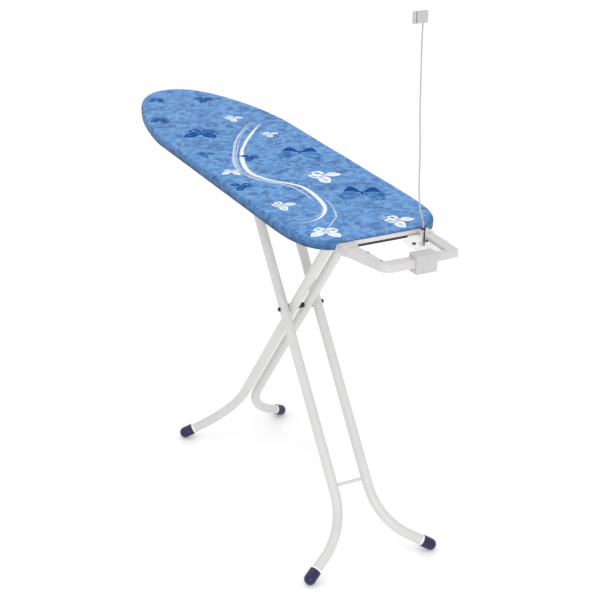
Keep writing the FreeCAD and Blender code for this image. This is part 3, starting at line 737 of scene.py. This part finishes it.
class BOARD_OT_print(bpy.types.Operator):
    """Butterflies and ribbon printed on the cover"""

    bl_idname = "board.print"
    bl_label = "Print"

    def execute(self, context):
        cover = context.scene.board_cover
        white = printed_cotton("cotton_white_print", cover, cover.white_ink)
        dark = printed_cotton("cotton_dark_print", cover, cover.dark_ink, gloss=0.1, sheen=0.0)
        opened = OPEN_WINGS + FEELERS
        turned = TURNED_WINGS + TURNED_FEELERS
        dark_kinds = [(opened, True, OPEN_DARK), (turned, False, TURNED_DARK)]
        white_kinds = [(opened, True, OPEN_WHITE), (turned, False, TURNED_WHITE)]
        for made in (
            flock("print_dark_butterflies", dark_kinds, dark, cover),
            flock("print_bowed_butterflies", [(BOWED_WINGS, True, BOWED_DARK)], dark, cover),
            flock("print_white_butterflies", white_kinds, white, cover),
            ribbon_pieces(white, cover),
        ):
            upward(made)
            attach(made, "board")
        return {"FINISHED"}


def upward(made):
    """Turns over the faces that look down."""
    work = bmesh.new()
    work.from_mesh(made.data)
    bmesh.ops.remove_doubles(work, verts=work.verts, dist=1e-6)
    work.normal_update()
    bmesh.ops.reverse_faces(work, faces=[face for face in work.faces if face.normal.z < 0])
    work.to_mesh(made.data)
    work.free()


class BOARD_OT_deck(bpy.types.Operator):
    """Pressed steel board with its vent holes, rails and brackets"""

    bl_idname = "board.deck"
    bl_label = "Deck and rails"

    def execute(self, context):
        paint(powder_coat("enamelled_deck", linear("#dfe0de"), 0.45, 1.8), "deck")
        paint(bright_zinc(), "top_axle", "lever_bracket", "lever_pin", "guide_rail_near", "guide_rail_far",
              "axle_brackets")
        paint(moulded("black_polypropylene", linear("#232325"), 0.5), "axle_caps")
        return {"FINISHED"}


class BOARD_OT_legs(bpy.types.Operator):
    """Bent tube legs with their cross bar, slide bar and crossing bolt"""

    bl_idname = "board.legs"
    bl_label = "Legs"

    def execute(self, context):
        settings = context.scene.board_frame
        coat = powder_coat("powder_coated_tube", settings.leg_paint, 0.38, 1.5)
        paint(coat, "outer_leg_near", "outer_leg_far", "inner_leg_near", "inner_leg_far", "crossbar")
        paint(bright_zinc("zinc_plated_bars"), "slide_bar")
        paint(black_oxide(), "pivot_bolt", "pivot_nut", "pivot_spacer")
        paint(moulded("white_nylon", linear("#e9e7e0"), 0.42, 0.6, 0.1), "slide_rollers", "pivot_washers")
        return {"FINISHED"}


class BOARD_OT_feet(bpy.types.Operator):
    """Foot caps and their collars"""

    bl_idname = "board.feet"
    bl_label = "Feet"

    def execute(self, context):
        settings = context.scene.board_frame
        paint(moulded("foot_cap_vinyl", settings.foot, 0.34, 1.2, 0.1, gloss=0.08), "outer_foot_caps",
              "inner_foot_caps")
        paint(moulded("collar_nylon", settings.collar, 0.4, 0.6, 0.1), "outer_foot_collars",
              "inner_foot_collars")
        return {"FINISHED"}


class BOARD_OT_release(bpy.types.Operator):
    """Height release lever under the board"""

    bl_idname = "board.release"
    bl_label = "Release lever"

    def execute(self, context):
        paint(drawn_wire("spring_steel_strip", linear("#8f9297"), 0.36), "release_lever")
        paint(moulded("black_grip", linear("#1f1f22"), 0.55, 0.9, 0.3), "release_grip")
        return {"FINISHED"}


class BOARD_OT_iron_rest(bpy.types.Operator):
    """Iron rest at the tail: its rail, hubs, frame, studs and plate"""

    bl_idname = "board.iron_rest"
    bl_label = "Iron rest"

    def execute(self, context):
        settings = context.scene.board_frame
        paint(powder_coat("rest_enamel", settings.rest_paint, 0.36, 1.3), "rest_frame", "rest_hubs")
        paint(powder_coat("plate_enamel", linear("#f3f2f3"), 0.36, 1.3), "holder_plate")
        paint(powder_coat("tail_rail_enamel", linear("#ded6d8"), 0.4, 1.3), "tail_rail")
        # The dark trim under the tail rail is painted shade: a dark strip drawn as thick as the shaded gap
        # under the rail and board.
        paint(moulded("shadow_gap_trim", linear("#2c2f38"), 0.45), "tail_trim")
        paint(moulded("grey_stud_rubber", linear("#b5b3b4"), 0.5, 0.7, 0.2), "rest_studs")
        paint(drawn_wire("dark_screws", linear("#4b4c50"), 0.35), "holder_screws")
        return {"FINISHED"}


class BOARD_OT_cord_holder(bpy.types.Operator):
    """Cord holder: its sleeve, rod, clip and clamp block"""

    bl_idname = "board.cord_holder"
    bl_label = "Cord holder"

    def execute(self, context):
        paint(chrome_plate(), "holder_sleeve")
        # The black strip in the sleeve's slit is painted shade: it stands in for the dark inside of the slit.
        # The cap is a black ferrule.
        paint(moulded("black_ferrule_and_slit_shade", linear("#1b1b1f"), 0.4), "sleeve_cap", "sleeve_strip")
        paint(moulded("vinyl_dipped_rod", linear("#aeb0af"), 0.4, 2.0, 0.08), "cord_rod")
        paint(moulded("grey_clip", linear("#b7b8b9"), 0.42, 0.7, 0.15), "cord_clip")
        paint(moulded("grey_block", linear("#bdbdbd"), 0.46, 0.9, 0.2), "clamp_block")
        return {"FINISHED"}


class BOARD_OT_stage(bpy.types.Operator):
    """Pale floor, soft lights and camera"""

    bl_idname = "board.stage"
    bl_label = "Stage"

    def execute(self, context):
        """The floor is a flat disc: its radius grows with the square of the first parameter."""
        settings = context.scene.board_stage
        finish, tree, shader, place = new_finish("pale_satin_floor", Roughness=0.22, Specular_IOR_Level=0.3,
                                                 Emission_Color=(1, 1, 1, 1), Emission_Strength=0.13)
        patches = add(tree, "TexNoise", {"Vector": place, "Scale": 0.8, "Detail": 2})
        mixed = add(tree, "Mix", {0: patches.outputs[0], 6: linear("#f3f3f3"), 7: linear("#f6f6f6")},
                    data_type="RGBA")
        tree.links.new(mixed.outputs[2], shader.inputs["Base Color"])
        ring = np.linspace(0, 1, 24)[:, None] ** 2 * 40
        around = np.linspace(0, 2 * np.pi, 97)[:-1][None, :]
        grid = np.stack([ring * np.cos(around), ring * np.sin(around), 0 * ring * around - 0.3 * MM], axis=-1)
        floor = ring_piece("floor", grid, finish)
        weld(floor)
        world = bpy.data.worlds.new("white_room")
        context.scene.world = world
        world.use_nodes = True
        world.node_tree.nodes["Background"].inputs[0].default_value = (1, 1, 1, 1)
        world.node_tree.nodes["Background"].inputs[1].default_value = settings.ambient
        context.scene.view_settings.view_transform = "Standard"
        self.panel(context, "overhead_panel", (-0.6, -0.9, 3.4), (0, 0, 0.6), 2.6, settings.overhead)
        self.panel(context, "front_panel", (3.6, -1.2, 1.4), (0, 0, 0.5), 1.8, settings.front)
        self.camera(context, settings)
        return {"FINISHED"}

    def panel(self, context, name, place, target, size, power):
        """A square soft light that faces its target."""
        light = bpy.data.lights.new(name, "AREA")
        light.shape = "SQUARE"
        light.size = size
        light.energy = power
        lamp = bpy.data.objects.new(name, light)
        context.scene.collection.objects.link(lamp)
        lamp.location = place
        lamp.rotation_euler = (Vector(target) - Vector(place)).to_track_quat("-Z", "Y").to_euler()

    def camera(self, context, settings):
        """A camera that looks along its azimuth, down by its elevation, and leans by its roll."""
        az, el, roll = settings.azimuth, settings.elevation, settings.roll
        forward = Vector((-math.sin(az) * math.cos(el), math.cos(az) * math.cos(el), -math.sin(el)))
        right = forward.cross(Vector((0, 0, 1))).normalized()
        up = right.cross(forward)
        across = math.cos(roll) * right + math.sin(roll) * up
        above = math.cos(roll) * up - math.sin(roll) * right
        lens = bpy.data.cameras.new("board_camera")
        lens.lens = settings.lens
        lens.sensor_width = 36
        lens.clip_end = 120
        eye = bpy.data.objects.new("board_camera", lens)
        context.scene.collection.objects.link(eye)
        turn = Matrix((across, above, -forward)).transposed().to_4x4()
        eye.matrix_world = Matrix.Translation(settings.place) @ turn
        context.scene.camera = eye


PIECES = [
    BOARD_OT_stage,
    BOARD_OT_pad,
    BOARD_OT_cover,
    BOARD_OT_print,
    BOARD_OT_deck,
    BOARD_OT_legs,
    BOARD_OT_feet,
    BOARD_OT_release,
    BOARD_OT_iron_rest,
    BOARD_OT_cord_holder,
]


class BOARD_PT_sidebar(bpy.types.Panel):
    """Lists the board's pieces"""

    bl_idname = "BOARD_PT_sidebar"
    bl_label = "Ironing Board"
    bl_space_type = "VIEW_3D"
    bl_region_type = "UI"
    bl_category = "Board"

    def draw(self, context):
        for piece in PIECES:
            self.layout.operator(piece.bl_idname)


SETTINGS = {
    "board_cover": CoverSettings,
    "board_pad": PadSettings,
    "board_frame": FrameSettings,
    "board_stage": StageSettings,
}
CLASSES = [*SETTINGS.values(), *PIECES, BOARD_PT_sidebar]


def register():
    for item in CLASSES:
        bpy.utils.register_class(item)
    for name, group in SETTINGS.items():
        setattr(bpy.types.Scene, name, PointerProperty(type=group))


def unregister():
    for name in SETTINGS:
        delattr(bpy.types.Scene, name)
    for item in reversed(CLASSES):
        bpy.utils.unregister_class(item)


def main():
    """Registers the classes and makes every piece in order."""
    register()
    for piece in PIECES:
        family, name = piece.bl_idname.split(".")
        getattr(getattr(bpy.ops, family), name)()
    bpy.context.view_layer.update()


if __name__ == "__main__":
    main()
